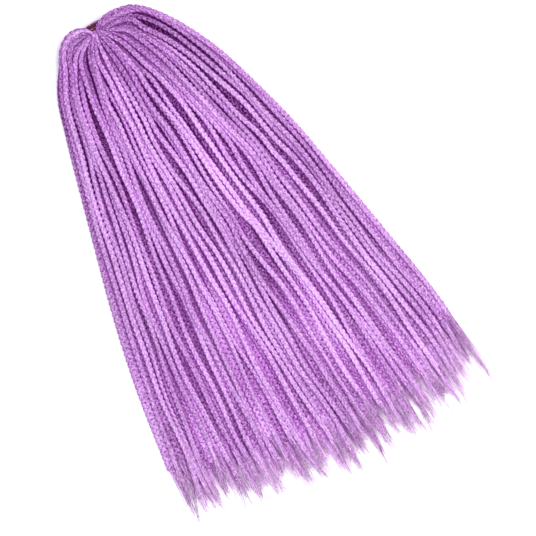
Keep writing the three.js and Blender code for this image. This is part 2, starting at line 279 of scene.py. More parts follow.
class Bundle:
    """The routes of all braids: a table for each measure, with a row for each run."""

    ROW_STEP = 0.006

    def __init__(self, sizes, tie):
        self.sizes, self.tie = sizes, tie
        self.rng = np.random.default_rng(sizes.seed)
        self.band_width = tie.turns * tie.cord
        self.gate_front = self.band_width / 2 + tie.gap
        self.gate_half_width = tie.fill * tie.half_width
        self.count = sizes.columns * LAYERS
        self.index = np.arange(self.count)
        self.place = (self.index + 0.5) / self.count * 2 - 1
        self.layer = np.array(LAYER_OF_PLACE)[self.index % LAYERS]
        self.upper = self.layer >= LAYERS // 2
        shares = np.interp(self.place, PLACES, LENGTHS)
        self.length = shares * sizes.length - sizes.length_spread * scatter(self.index, 1)
        self.braided_end = self.length - sizes.loose_tip
        self.root_run = -(self.band_width + tie.gap + LOOP_SHARE * sizes.loop_reach)
        furthest = self.length.max() + sizes.brush_over + sizes.right_over
        self.runs = np.arange(self.root_run, furthest + 2 * self.ROW_STEP, self.ROW_STEP)
        self.run = self.runs[:, None]
        self.plan()
        self.part_and_sway()
        self.squeeze()
        self.stack()
        self.arch_over_tie()

    def section(self, row):
        """Place in plan, direction and distance of each braid along one section."""
        found = np.zeros((self.count, 5))
        for side, sign in (("left", -1), ("right", 1)):
            picked = self.place * sign > 0
            reach = lerp(self.gate_half_width, self.sizes.fan_half_width, row[side])
            lag = row[side + "_lag"] * self.sizes.fan_lag
            lengths, across, back = side_arc(reach, lag, row[side + "_sweep"])
            wanted = np.abs(self.place[picked]) * lengths[-1]
            x, y = np.interp(wanted, lengths, across), np.interp(wanted, lengths, back)
            ahead_x = np.interp(wanted, lengths, np.gradient(across, lengths))
            ahead_y = np.interp(wanted, lengths, np.gradient(back, lengths))
            y = y - self.gate_front - row["run"] * self.sizes.length
            columns = [sign * x, y, ahead_x, sign * ahead_y, sign * wanted]
            found[picked] = np.stack(columns, axis=1)
        return found

    def plan(self):
        knots = [row[0] * self.sizes.length for row in FAN_SECTIONS]
        tables = [self.section(dict(zip(FAN_COLUMNS, row))) for row in FAN_SECTIONS]
        ahead = 1 + BEYOND * knots[-1] / (knots[-1] - knots[-2])
        tables.append(lerp(tables[-2], tables[-1], ahead))
        knots.append((1 + BEYOND) * knots[-1])
        behind = tables[0].copy()
        behind[:, 1] -= 2 * self.root_run
        knots.insert(0, 2 * self.root_run)
        tables.insert(0, behind)
        smooth_rows = rounded(self.runs, np.array(knots), np.array(tables))
        self.x, self.y, ahead_x, ahead_y, self.across = np.moveaxis(smooth_rows, 2, 0)
        size = np.hypot(ahead_x, ahead_y)
        self.ahead_x, self.ahead_y = ahead_x / size, ahead_y / size

    def half_width(self):
        return np.abs(self.across).max(axis=1, keepdims=True)

    def part_and_sway(self):
        """Neighbours crowd together and part again along their way, and each braid sways."""
        sizes = self.sizes
        run, half_width = self.run, self.half_width()
        shift = np.zeros(self.x.shape)
        follow = np.where(self.upper, 1, -sizes.lower_follow)[None]
        near_tie = 1 + sizes.tie_crowding * (1 - ramp(run, *CROWDING_ENDS))
        for waves, crowding, drift, start in PARTINGS:
            phase = TAU * (self.place[None] * waves + drift * run / sizes.length + start)
            shift += follow * near_tie * np.sin(phase) * crowding * half_width / (TAU * waves)
        for start, end, place, last_place, opening in DEEP_PARTINGS:
            part = (run - start) / (end - start)
            beside = self.place[None] - lerp(place, last_place, np.clip(part, 0, 1))
            near = np.exp(-((beside / PARTING_REACH) ** 2))
            push = np.clip(beside / PARTING_MIDDLE, -1, 1) * near
            open_here = ramp(run, start, PARTING_OPENS) * (1 - ramp(run, end, PARTING_CLOSES))
            shift += np.where(self.upper, 1, -LOWER_CLOSES)[None] * push * open_here * opening / 2
        edge = np.clip((1 - np.abs(self.place)) / EDGE, 0, 1)[None]
        room = np.clip(half_width / (FULL_SWAY * sizes.fan_half_width), 0, 1)
        starts = self.rng.uniform(0, 1, (2, self.count))
        sway = np.sin(TAU * (run / sizes.sway_pitch + starts[0]))
        finer = np.sin(TAU * (run / (SECOND_PITCH * sizes.sway_pitch) + starts[1]))
        sway = sway + SECOND_SWAY * finer
        layer_sway = np.where(self.upper, 1, LOWER_SWAY)
        shift += sizes.sway * room * sway * lerp(EDGE_SWAY, 1, edge) * layer_sway
        shift *= smooth(run / sizes.neck) * lerp(EDGE_SHIFT, 1, edge)
        self.x += self.ahead_x * shift
        self.y += self.ahead_y * shift
        self.across += shift

    def squeeze(self):
        """Widths and thicknesses: thin necks, full braids and a taper towards the loose tip."""
        sizes, tie = self.sizes, self.tie
        run = self.run
        grown = smooth(run / sizes.neck)
        apart = np.abs(self.across[:, LAYERS:] - self.across[:, :-LAYERS]) - sizes.gap
        padded = np.pad(apart, ((0, 0), (LAYERS, LAYERS)), constant_values=np.inf)
        room = np.minimum(padded[:, LAYERS:], padded[:, :-LAYERS])
        own = 1 + sizes.width_spread * (2 * scatter(self.index, 5) - 1)
        lower_pitch = 2 * self.half_width() / (self.count / 2)
        cover = np.maximum(1, sizes.lower_cover * lower_pitch / sizes.width)
        own = np.where(self.upper, own, own * cover)
        taper = 1 - TAPER * smooth((run - self.braided_end + TAPER_LENGTH) / TAPER_LENGTH)
        spread = 1 + sizes.tip_growth * ramp(run, *GROWTH_SETS_IN)
        full = sizes.width * own * taper * spread
        on_top = self.layer == LAYERS - 1
        wider = ramp(run, NECK_START, np.where(on_top, *NECK_REACH))
        visible_neck = lerp(np.where(on_top, *NECK_SHARE), 1, wider)
        self.width = np.minimum(full, np.maximum(room, full * visible_neck))
        oval = tie.half_height * np.sqrt(1 - (np.abs(self.place) * tie.fill) ** 2)
        neck = (2 * (oval - tie.gap) - (LAYERS - 1) * sizes.gap) / LAYERS
        self.thickness = lerp(neck[None], sizes.thickness * taper, grown)

    def stack(self):
        """The lowest layer lies on the floor and each other one on those below it."""
        sizes, tie = self.sizes, self.tie
        gate_middle = tie.clearance + tie.cord + tie.half_height
        run = self.run
        pile = LAYERS * self.thickness + (LAYERS - 1) * sizes.gap
        in_tie = gate_middle - pile / 2 + self.thickness / 2
        stacked = in_tie + self.layer[None] * (self.thickness + sizes.gap)
        self.z = lerp(in_tie, self.thickness / 2, smooth(2 * run / sizes.neck))
        for row, here in enumerate(self.runs):
            z, across = self.z[row], self.across[row]
            width, thickness = self.width[row], self.thickness[row]
            stiff = 1 - sizes.sink * ramp(here, *PRESSING_SETS_IN)
            beside = np.abs(across[:, None] - across) / ((width[:, None] + width) / 2)
            apart = stiff * (thickness[:, None] + thickness) / 2
            rise = apart * np.sqrt(np.clip(1 - beside**2, 0, 1))
            for layer in range(1, LAYERS):
                below = (beside < 1) & (self.layer < layer) & (here < self.length)
                lifted = np.maximum(z, np.where(below, z + rise, 0).max(axis=1))
                z[:] = np.where(self.layer == layer, lifted, z)
        kernel = np.exp(-0.5 * (np.arange(-BLUR_ROWS, BLUR_ROWS + 1) / BLUR) ** 2)
        padded = np.pad(self.z, ((BLUR_ROWS, BLUR_ROWS), (0, 0)), mode="edge")
        rows = range(len(kernel))
        self.z = sum(k * padded[j : j + len(self.z)] for j, k in zip(rows, kernel / kernel.sum()))
        self.z = lerp(stacked, self.z, ramp(run, *TIE_ENDS))
        starts = self.rng.uniform(0, 1, self.count)
        bob = np.sin(TAU * (run / (BOB_PITCH * sizes.sway_pitch) + starts)) + 1
        self.z += 0.5 * sizes.bob * bob * self.upper * ramp(run, *BOB_SETS_IN)
        raised = (self.layer == LAYERS - 1) * (0.5 + self.index // LAYERS % 2) * NECK_RISE
        self.z += raised * ramp(run, *NECK_RISES) * (1 - ramp(run, *NECK_FALLS))
        loose = smooth((run - self.braided_end) / sizes.loose_tip)
        self.z = np.maximum(self.z, self.thickness / 2 + FLOOR_GAP)
        self.z = lerp(self.z, np.minimum(self.z, TIP_HEIGHT), TIP_DROP * loose)

    def arch_over_tie(self):
        """The outer upper braids leave the tie's middle and arch back over its ends."""
        upper = np.flatnonzero(self.upper)
        knots, across, along, height = np.array(ARCH).T
        for order, k in enumerate(upper):
            rank = min(order, len(upper) - 1 - order)
            weight = smooth(ARCH_WEIGHT - rank / ARCH_BRAIDS)
            side = np.sign(self.place[k])
            back = ARCH_BACK[0] if side < 0 else ARCH_BACK[1]
            arch_x = side * rounded(self.runs, knots, across)
            arch_x -= (side > 0) * ARCH_SHIFT * (1 - ramp(self.runs, *LEAN_ENDS))
            arch_y = rounded(self.runs, knots, along * back + (1 - along) * ARCH_START)
            arch_y -= ARCH_RANK * rank * ramp(self.runs, *RANK_SETS_IN)
            arch_z = rounded(self.runs, knots, height) + ARCH_LIFT * rank
            blend = weight * (1 - ramp(self.runs, *ARCH_ENDS))
            neck = lerp(ARCH_WIDTH, 1, ramp(self.runs, *ARCH_WIDENS)) * self.sizes.width
            self.width[:, k] = np.maximum(self.width[:, k], neck * (blend > ARCH_WIDE_FROM))
            self.x[:, k] = lerp(self.x[:, k], arch_x, blend)
            self.y[:, k] = lerp(self.y[:, k], arch_y, blend)
            self.z[:, k] = lerp(self.z[:, k], arch_z, blend)


PLAITED, LOOSE, CORE = 0, 1, 2  # the kinds of path that a piece is made of
CORES = (-0.24, 0.24)  # where the fillings of a lower braid lie, as shares of its width
CORE_SIZE, CORE_FLAT = 0.42, 1.6  # their share of its width, taken as at most that many thicknesses
CORE_SHADE_TINT = 0.3  # how much deeper their colour is, as painted shade in the holes between strands
ROLL_START, ROLL, ROLL_PITCH = 0.8, 0.6, 0.21  # how an upper braid rolls about its path
ROLL_REACH = 3  # necks over which the roll sets in
SEEDS = 1000  # between the seeds of two bundles
TINT = (-0.8, 1.4)  # the least and the most that one braid has
LONGER, LONGER_POWER = (0.4, 1.0), 1.2  # share of the brush over that a tip has
EDGE_POWER = 8  # how close to the fan's edges the longest tips lie


def unit(vectors):
    return vectors / np.linalg.norm(vectors, axis=1)[:, None]


def turned(side, up, angle):
    c, s = np.cos(angle)[:, None], np.sin(angle)[:, None]
    return c * side + s * up, c * up - s * side


def path_frame(points, side, roll):
    """Directions across a path and up from it, turned about the path by roll."""
    ahead = unit(np.gradient(points, axis=0))
    side = unit(side - (side * ahead).sum(1)[:, None] * ahead)
    up = np.cross(side, ahead)
    up *= np.sign(up[:, 2].sum() or 1)
    return turned(side, up, roll)


def make_path(points, side, up, width, thickness, run, kind, **looks):
    """A path's points and directions, and a column for each of its values."""
    values = looks | {"width": width, "thickness": thickness, "run": run, "kind": kind}
    columns = {name: np.full(len(points), value) for name, value in values.items()}
    return columns | {"points": points, "side": side, "up": up}


PATH_STEP = 0.0022  # between the points of a plaited path
LOOSE_POINTS = 16
LOOSE_LAP = 0.006  # of the brush with the plaited end
# Painted shade and painted light of the hair, and the deeper tint that goes with the shade, where
# braids lie under others, near the tie and at the fan's sides: at the tie, at a reach from it and
# beyond, and that reach.
UPPER_SHADE = (0.88, 0.99, 0.16)
LOWER_SHADE = (0.46, 0.9, 0.42)
LOWER_SHADE_TINT = (1.0, 0.55, 0.4)
NECK_SHADE = (1.12, 1.0, 0.12)
NECK_SHADE_TINT = (1.7, 0.0, 0.2)
RIGHT_SHADE = (0.91, 1.0, 0.44)  # painted shade at the right edge of the fan
LOWER_RIGHT = (0.76, 0.98, 0.42)  # painted shade of the lower braids at the right edge
LOWER_LEFT = 1.08  # painted light of the lower braids at the left edge, all along
NECK_OWN, NECK_OWN_REACH = 0.36, 0.1  # how much darker a single braid may be at the tie, as painted shade
# Painted light in the middle of the fan and painted shade at its sides
MIDDLE_SHADE, SIDE_SHADE = 1.045, 0.955
RIGHT_FROM, RIGHT_OVER = 0.25, 0.5  # where across the fan the right edge's shade begins to grow
FLANK_FROM, FLANK_OVER = 0.85, 0.1  # where the lower braids begin to lie open at the sides
FLANK = 0.55  # and how far they do, which takes away part of their painted shade
UPPER_OWN, LOWER_OWN = (0.88, 1.02), (0.66, 1.08)  # the least and the most shade that one braid has; the lower braids' range is darker, as painted shade
CORE_SHADE = 0.55  # painted shade of a lower braid's fillings, against its strands
LOWER_WAVE, LOWER_PITCH = 0.1, 0.13  # how far the painted shade varies along a lower braid
GROUP, GROUP_SEED = 7, 500  # braids side by side that share a tone, and its random values
TONE = 0.055  # how far it varies from group to group
TONE_WAVE, TONE_PITCH = 0.06, 0.19  # and along them


def fade(run, near, far, reach):
    return lerp(near, far, smooth(run / reach))


def painted_shade_along(bundle, index, run, own, wander):
    """Painted shade along a braid's run, where it lies under others, near the tie and at the fan's
    sides, and how much deeper its tint is for that shade.
    """
    sizes = bundle.sizes
    group = np.random.default_rng(SEEDS * sizes.seed + GROUP_SEED + index // GROUP)
    tone, start = group.uniform(-1, 1), group.uniform(0, 1)
    place = bundle.place[index]
    open_side = FLANK * ramp(abs(place), FLANK_FROM, FLANK_OVER)
    covered = 0 if bundle.upper[index] else 1 - open_side
    right = ramp(place, RIGHT_FROM, RIGHT_OVER)
    shade = 1 + TONE * tone + TONE_WAVE * np.sin(TAU * (run / TONE_PITCH + start))
    shade = shade * lerp(lerp(*UPPER_OWN, own), lerp(*LOWER_OWN, own), covered)
    shade = shade * lerp(fade(run, *UPPER_SHADE), fade(run, *LOWER_SHADE), covered)
    shade = shade * (1 + covered * LOWER_WAVE * np.sin(TAU * (run / LOWER_PITCH + wander)))
    shade = shade * fade(run, *NECK_SHADE) * lerp(1, fade(run, *RIGHT_SHADE), right)
    shade = shade * fade(run, 1 - NECK_OWN * wander, 1, NECK_OWN_REACH)
    shade = shade * lerp(MIDDLE_SHADE, SIDE_SHADE, place**2)
    sides = lerp(LOWER_LEFT, fade(run, *LOWER_RIGHT), smooth((place + 1) / 2))
    shade = shade * lerp(1, sides, covered)
    return shade, covered * sizes.lower_tint * fade(run, *LOWER_SHADE_TINT) + fade(run, *NECK_SHADE_TINT)


def braid_paths(bundle, index):
    """The paths of a braid: its fillings, the plaited part from its loop on, and its loose tip."""
    sizes = bundle.sizes
    rng = np.random.default_rng(SEEDS * sizes.seed + index)
    end = bundle.braided_end[index]
    braided = np.linspace(bundle.root_run, end, int((end - bundle.root_run) / PATH_STEP))
    phase, roll_start = rng.uniform(0, 1), rng.uniform(-ROLL_START, ROLL_START)
    tint, wander, own = rng.uniform(*TINT), rng.uniform(0, 1), rng.uniform(0, 1)
    edge_over = sizes.right_over if bundle.place[index] > 0 else sizes.left_over
    longer = lerp(*LONGER, rng.uniform(0, 1) ** LONGER_POWER)
    over = sizes.brush_over * longer + edge_over * abs(bundle.place[index]) ** EDGE_POWER
    loose = np.linspace(end - LOOSE_LAP, bundle.length[index] + over, LOOSE_POINTS)
    names = ("x", "y", "z", "ahead_x", "ahead_y", "width", "thickness")
    table = np.stack([getattr(bundle, name)[:, index] for name in names], axis=1)
    paths = []
    for run, kind in ((braided, PLAITED), (loose, LOOSE)):
        x, y, z, ahead_x, ahead_y, width, thickness = rounded(run, bundle.runs, table).T
        points = np.stack([x + TIE.x, y + TIE.y, z], axis=1)
        side = np.stack([ahead_x, ahead_y, 0 * run], axis=1)
        roll = roll_start + ROLL * np.sin(TAU * (run / ROLL_PITCH + wander))
        roll = roll * (kind == PLAITED and bundle.upper[index])
        side, up = path_frame(points, side, roll * smooth(run / (ROLL_REACH * sizes.neck)))
        # shade and deeper carry the painted shade of the braid and the deeper tint that goes with
        # it.
        shade, deeper = 1.0, 0.0
        if kind == PLAITED:
            shade, deeper = painted_shade_along(bundle, index, run, own, wander)
        if kind == PLAITED and not bundle.upper[index]:
            size = CORE_SIZE * np.minimum(width, CORE_FLAT * thickness)
            looks = {"tint": tint - deeper - CORE_SHADE_TINT, "shade": CORE_SHADE * shade}
            for core in CORES:
                filling = points + side * (core * width)[:, None]
                paths.append(make_path(filling, side, up, size, size, run, CORE, **looks))
        laid = run + phase * sizes.stitch
        looks = {"tint": tint - deeper, "shade": shade}
        paths.append(make_path(points, side, up, width, thickness, laid, kind, **looks))
    return paths


def path_object(name, paths):
    """A mesh of bare lines that carries what the node tree needs to know at each point."""
    mesh = bpy.data.meshes.new(name)
    table = {column: np.concatenate([path[column] for path in paths]) for column in paths[0]}
    ends = np.cumsum([len(path["run"]) for path in paths])
    edges = [(k, k + 1) for k in range(ends[-1] - 1) if k + 1 not in ends]
    mesh.from_pydata(table.pop("points").tolist(), edges, [])
    for column, values in table.items():
        kind, slot = ("FLOAT", "value") if values.ndim == 1 else ("FLOAT_VECTOR", "vector")
        layer = mesh.attributes.new(column, kind, "POINT")
        layer.data.foreach_set(slot, values.astype(np.float32).ravel())
    piece = bpy.data.objects.new(name, mesh)
    bpy.context.scene.collection.objects.link(piece)
    return piece


class Nodes:
    """A small helper that adds nodes to a tree and links them."""

    def __init__(self, tree):
        self.tree = tree

    def add(self, kind, inputs=(), **settings):
        node = self.tree.nodes.new(kind)
        for name, value in settings.items():
            setattr(node, name, value)
        for name, value in dict(inputs).items():
            self.put(node.inputs[name], value)
        return node

    def out(self, kind, inputs=(), **settings):
        """The first output of a new node."""
        return self.add(kind, inputs, **settings).outputs[0]

    def put(self, socket, value):
        if isinstance(value, bpy.types.NodeSocket):
            self.tree.links.new(value, socket)
        else:
            socket.default_value = value

    def math(self, operation, *values):
        return self.out("ShaderNodeMath", enumerate(values), operation=operation)

    def times(self, value, *factors):
        for factor in factors:
            value = self.math("MULTIPLY", value, factor)
        return value

    def scaled_sum(self, total, *terms):
        """The sum of a value and of others that are each multiplied by a weight."""
        for value, weight in terms:
            total = self.math("MULTIPLY_ADD", value, weight, total)
        return total

    def vector(self, operation, *values, output=0):
        slots = (0, "Scale") if operation == "SCALE" else (0, 1)
        node = self.add("ShaderNodeVectorMath", zip(slots, values), operation=operation)
        return node.outputs[output]


class Tree(Nodes):
    """A geometry node tree with named inputs."""

    def __init__(self, name, inputs):
        super().__init__(bpy.data.node_groups.new(name, "GeometryNodeTree"))
        face = self.tree.interface
        face.new_socket("Geometry", in_out="INPUT", socket_type="NodeSocketGeometry")
        for label, kind, default in inputs:
            socket = face.new_socket(label, in_out="INPUT", socket_type="NodeSocket" + kind)
            socket.default_value = default
        face.new_socket("Geometry", in_out="OUTPUT", socket_type="NodeSocketGeometry")
        self.inputs = self.add("NodeGroupInput").outputs
        self.output = self.add("NodeGroupOutput").inputs[0]

    def named(self, name, kind="FLOAT"):
        node = self.add("GeometryNodeInputNamedAttribute", {"Name": name}, data_type=kind)
        return node.outputs["Attribute"]

    def store(self, geometry, name, value, kind="FLOAT", domain="POINT"):
        inputs = {"Geometry": geometry, "Name": name, "Value": value}
        settings = {"data_type": kind, "domain": domain}
        return self.out("GeometryNodeStoreNamedAttribute", inputs, **settings)

    def moved(self, curves, sideways, upwards):
        """Curves moved in the directions that their paths carry."""
        aside = self.vector("SCALE", self.named("side", "FLOAT_VECTOR"), sideways)
        above = self.vector("SCALE", self.named("up", "FLOAT_VECTOR"), upwards)
        offset = self.vector("ADD", aside, above)
        return self.out("GeometryNodeSetPosition", {"Geometry": curves, "Offset": offset})

    def spaced(self, paths, spacing):
        """Curves along a mesh of lines, with points at a spacing."""
        curves = self.out("GeometryNodeMeshToCurve", {"Mesh": paths})
        inputs = {"Curve": curves, "Length": spacing}
        return self.out("GeometryNodeResampleCurve", inputs, mode="LENGTH")

    def tubes(self, curves, radius, sides):
        """Tubes along curves, with their lay: round the tube in x and y, and along it in z."""
        ring = {"Resolution": sides, "Radius": 1.0}
        held = self.add("GeometryNodeCaptureAttribute")
        held.capture_items.new("VECTOR", "Round")
        self.put(held.inputs[0], self.out("GeometryNodeCurvePrimitiveCircle", ring, mode="RADIUS"))
        self.put(held.inputs["Round"], self.out("GeometryNodeInputPosition"))
        inputs = {"Curve": curves, "Profile Curve": held.outputs[0], "Scale": radius}
        tube = self.out("GeometryNodeCurveToMesh", inputs | {"Fill Caps": True})
        along = self.vector("SCALE", (0.0, 0.0, 1.0), self.named("run"))
        lay = self.vector("ADD", held.outputs["Round"], along)
        return self.store(tube, "lay", lay, "FLOAT_VECTOR")


STRAND_FLAT = 1.1  # widths of a braid that its strands are sized by at most
VALLEY, VALLEY_SLOPE = 0.65, -2.0  # how soon a strand counts as a groove below its braid's middle, for the painted groove shade


def plaited_strands(tree, paths):
    """Three strands that pass over and under each other along each path."""
    width, thickness = tree.named("width"), tree.named("thickness")
    curves = tree.spaced(paths, tree.inputs["Ring spacing"])
    inputs = {"Geometry": curves, "Amount": tree.inputs["Strands"]}
    copies = tree.add("GeometryNodeDuplicateElements", inputs, domain="SPLINE")
    strand = tree.store(copies.outputs[0], "strand", copies.outputs[1], "INT", "CURVE")
    turn = tree.math("DIVIDE", tree.named("strand", "INT"), tree.inputs["Strands"])
    rounds = tree.math("DIVIDE", tree.named("run"), tree.inputs["Stitch"])
    angle = tree.times(tree.math("ADD", turn, rounds), TAU)
    wide = tree.times(width, tree.inputs["Width weight"])
    rest = tree.math("SUBTRACT", 1.0, tree.inputs["Width weight"])
    size = tree.scaled_sum(wide, (thickness, rest))
    size = tree.math("MINIMUM", size, tree.times(width, STRAND_FLAT))
    radius = tree.times(size, tree.inputs["Strand share"])
    reach = tree.math("SUBTRACT", tree.times(width, 0.5), radius)
    depth = tree.math("SUBTRACT", tree.times(thickness, 0.5), radius)
    across = tree.times(reach, tree.math("SINE", angle))
    above = tree.times(depth, tree.math("SINE", tree.times(angle, 2.0)))
    here = tree.out("GeometryNodeInputPosition")
    centred = tree.store(strand, "centre", here, "FLOAT_VECTOR")
    tubes = tree.tubes(tree.moved(centred, across, above), radius, tree.inputs["Strand sides"])
    # Painted shade mask, stored as edge: high at the sides and the lower half of each braid, where
    # shade falls between and under strands.
    off = tree.vector("SUBTRACT", here, tree.named("centre", "FLOAT_VECTOR"))
    beside = tree.vector("DOT_PRODUCT", off, tree.named("side", "FLOAT_VECTOR"), output=1)
    edge = tree.math("DIVIDE", tree.times(tree.math("ABSOLUTE", beside), 2.0), width)
    over = tree.vector("DOT_PRODUCT", off, (0.0, 0.0, 1.0), output=1)
    height = tree.math("DIVIDE", over, thickness)
    valley = tree.scaled_sum(VALLEY, (height, VALLEY_SLOPE))
    groove = tree.math("MAXIMUM", tree.math("SUBTRACT", edge, height), valley)
    return tree.store(tubes, "edge", groove)


def cores(tree, paths):
    """Plain fillings that close the small holes of the wide lower braids."""
    curves = tree.spaced(paths, tree.inputs["Core spacing"])
    return tree.tubes(curves, tree.times(tree.named("width"), 0.5), tree.inputs["Strand sides"])


# The locks of a loose tip. Some tufts of them, and very few single locks, go their own way.
LOCK_POINTS, LOCK_SIDES = 7, 3
LONG_POWER, LONE_POWER = 2.2, 6.0  # how few locks are long, and how few of those stand alone
SHORTEST = 0.38  # share of the tip that the shortest locks reach
TUFT_LENGTH = (0.75, 1.0)
POINTED = 0.45  # how much shorter the tufts at a tip's sides are
GATHERED = 0.85  # how far the locks of a tip come together at their ends
SPREAD_POWER = 1.4  # how late along it a lock leaves the tip's middle
OWN_ASIDE, LONE_ASIDE = (-0.3, 0.3), (-1.9, 1.9)  # of a lock and of a lone one, against its tuft
RIPPLES = 6.0  # radians of a lock's ripple along it
FLAT = 0.45  # thickness of a brush against its braid's
TUFT_RISE, LIFT = (0.0, 0.5), 0.6  # how high tufts rise, against how far they spread
LOCK_TINT, TUFT_TINT = (-0.8, 0.8), (-1.6, 1.8)
LOCK_SHADE, TUFT_SHADE = (0.74, 1.24), (0.85, 1.4)
LONE_DARK, LONE_THICK = 0.32, 0.7  # how much darker and thicker the lone locks are
PALE = 1.1  # how pale the longest locks' ends are, partly painted light through thin hair
THINNED, THIN_POWER = 0.62, 1.2  # how much thinner a lock is at its end


def loose_hairs(tree, paths):
    """A flat, frayed brush of thin locks that spread from each path in small tufts."""
    times, scaled_sum = tree.times, tree.scaled_sum
    curves = tree.out("GeometryNodeMeshToCurve", {"Mesh": paths})
    inputs = {"Geometry": curves, "Amount": tree.inputs["Tip hairs"]}
    copies = tree.out("GeometryNodeDuplicateElements", inputs, domain="SPLINE")
    numbered = tree.store(copies, "lock", tree.out("GeometryNodeInputIndex"), "INT", "CURVE")
    lock = tree.named("lock", "INT")
    tuft = tree.math("FLOOR", tree.math("DIVIDE", lock, tree.inputs["Tuft"]))

    def chance(low, high, step, identity=lock):
        seed = tree.math("ADD", tree.inputs["Seed"], float(step))
        inputs = {"Min": low, "Max": high, "ID": identity, "Seed": seed}
        return tree.add("FunctionNodeRandomValue", inputs, data_type="FLOAT").outputs[1]

    stray = tree.math("POWER", chance(0.0, 1.0, 0), LONG_POWER)
    lone = tree.math("POWER", stray, LONE_POWER)
    aside = chance(-1.0, 1.0, 4, tuft)
    length = times(scaled_sum(SHORTEST, (stray, 1 - SHORTEST)), chance(*TUFT_LENGTH, 1, tuft))
    length = times(length, scaled_sum(1.0, (tree.math("ABSOLUTE", aside), -POINTED)))
    ends = {"Curve": numbered, "Start": 0.0, "End": length}
    cut = tree.out("GeometryNodeTrimCurve", ends, mode="FACTOR")
    locks = tree.out("GeometryNodeResampleCurve", {"Curve": cut, "Count": LOCK_POINTS})
    along = tree.add("GeometryNodeSplineParameter").outputs["Factor"]
    angle = chance(0.0, TAU, 2)
    left = tree.math("SUBTRACT", 1.0, times(along, GATHERED))
    spread = times(tree.math("SQRT", chance(0.0, 1.0, 3)), left)
    within = times(spread, times(tree.named("width"), tree.inputs["Brush share"]))
    fray = times(tree.math("POWER", along, SPREAD_POWER), length, tree.inputs["Flare"])
    wave = scaled_sum(chance(0.0, TAU, 6), (along, RIPPLES))
    sideways = scaled_sum(
        times(fray, aside),
        (fray, chance(*OWN_ASIDE, 5)),
        (times(fray, lone), chance(*LONE_ASIDE, 11)),
        (tree.math("SINE", wave), times(along, tree.inputs["Ripple"])),
        (within, tree.math("COSINE", angle)),
    )
    lift = times(fray, chance(*TUFT_RISE, 7, tuft), LIFT)
    deep = times(tree.named("thickness"), spread, tree.math("SINE", angle))
    upwards = scaled_sum(lift, (deep, FLAT))
    tint = tree.math("ADD", chance(*LOCK_TINT, 8), chance(*TUFT_TINT, 9, tuft))
    tinted = tree.store(tree.moved(locks, sideways, upwards), "tint", tint)
    dark = scaled_sum(1.0, (lone, -LONE_DARK))
    streak = times(chance(*TUFT_SHADE, 10, tuft), chance(*LOCK_SHADE, 12), dark)
    streaked = tree.store(tinted, "shade", streak)
    faded = times(length, PALE, along, dark)
    bare = tree.store(streaked, "bare", faded)
    thin = tree.math("SUBTRACT", 1.0, times(tree.math("POWER", along, THIN_POWER), THINNED))
    thin = times(thin, scaled_sum(1.0, (lone, LONE_THICK)))
    return tree.tubes(bare, times(thin, tree.inputs["Lock radius"]), LOCK_SIDES)


BRAID_INPUTS = (
    ("Stitch", "Float", 0.0158),
    ("Strands", "Int", 3),
    ("Strand share", "Float", 0.275),
    ("Width weight", "Float", 0.4),
    ("Strand sides", "Int", 6),
    ("Ring spacing", "Float", 0.00176),
    ("Core spacing", "Float", 0.006),
    ("Tip hairs", "Int", 80),
    ("Tuft", "Float", 12.0),
    ("Lock radius", "Float", 0.00027),
    ("Brush share", "Float", 0.5),
    ("Flare", "Float", 0.0055),
    ("Ripple", "Float", 0.0006),
    ("Seed", "Int", 7),
    ("Material", "Material", None),
)


def box_braid_tree():
    """Plaits the plaited paths of a mesh of lines and brushes out the loose ones."""
    tree = Tree("Box braid", BRAID_INPUTS)
    joined = tree.add("GeometryNodeJoinGeometry")
    for kind, make in ((LOOSE, loose_hairs), (CORE, cores), (PLAITED, plaited_strands)):
        both = {2: tree.named("kind", "INT"), 3: kind}
        is_kind = tree.out("FunctionNodeCompare", both, data_type="INT", operation="EQUAL")
        picked = {"Geometry": tree.inputs["Geometry"], "Selection": is_kind}
        part = tree.out("GeometryNodeSeparateGeometry", picked, domain="POINT")
        tree.put(joined.inputs[0], make(tree, part))
    kept = tree.out("GeometryNodeSetShadeSmooth", {"Geometry": joined.outputs[0]})
    for name in ("centre", "side", "up", "width", "thickness", "kind", "strand", "lock", "run"):
        kept = tree.out("GeometryNodeRemoveAttribute", {"Geometry": kept, "Name": name})
    real = tree.out("GeometryNodeRealizeInstances", {"Geometry": kept})
    painted = {"Geometry": real, "Material": tree.inputs["Material"]}
    tree.put(tree.output, tree.out("GeometryNodeSetMaterial", painted))
    return tree.tree


def grown_piece(name, paths, values):
    """A piece with the plain mesh that the node tree grows from its paths."""
    piece = path_object(name, paths)
    group = bpy.data.node_groups.get("Box braid") or box_braid_tree()
    modifier = piece.modifiers.new(group.name, "NODES")
    modifier.node_group = group
    for item in group.interface.items_tree:
        if item.item_type == "SOCKET" and item.in_out == "INPUT" and item.name in values:
            modifier[item.identifier] = values[item.name]
    bpy.context.view_layer.update()
    graph = bpy.context.evaluated_depsgraph_get()
    mesh = bpy.data.meshes.new_from_object(piece.evaluated_get(graph))
    piece.modifiers.remove(modifier)
    old = piece.data
    piece.data = mesh
    bpy.data.meshes.remove(old)
    mesh.name = piece.name
    return piece


# The fibres of hair and yarn: scale round a strand and along it, detail, strength of their dents.
HAIR_FIBRES = ((3.3, 3.3, 450.0), 4.0, 0.35)
YARN_FIBRES = ((4.0, 4.0, 1000.0), 2.0, 0.5)
FIBRE_DEPTH = 0.0002


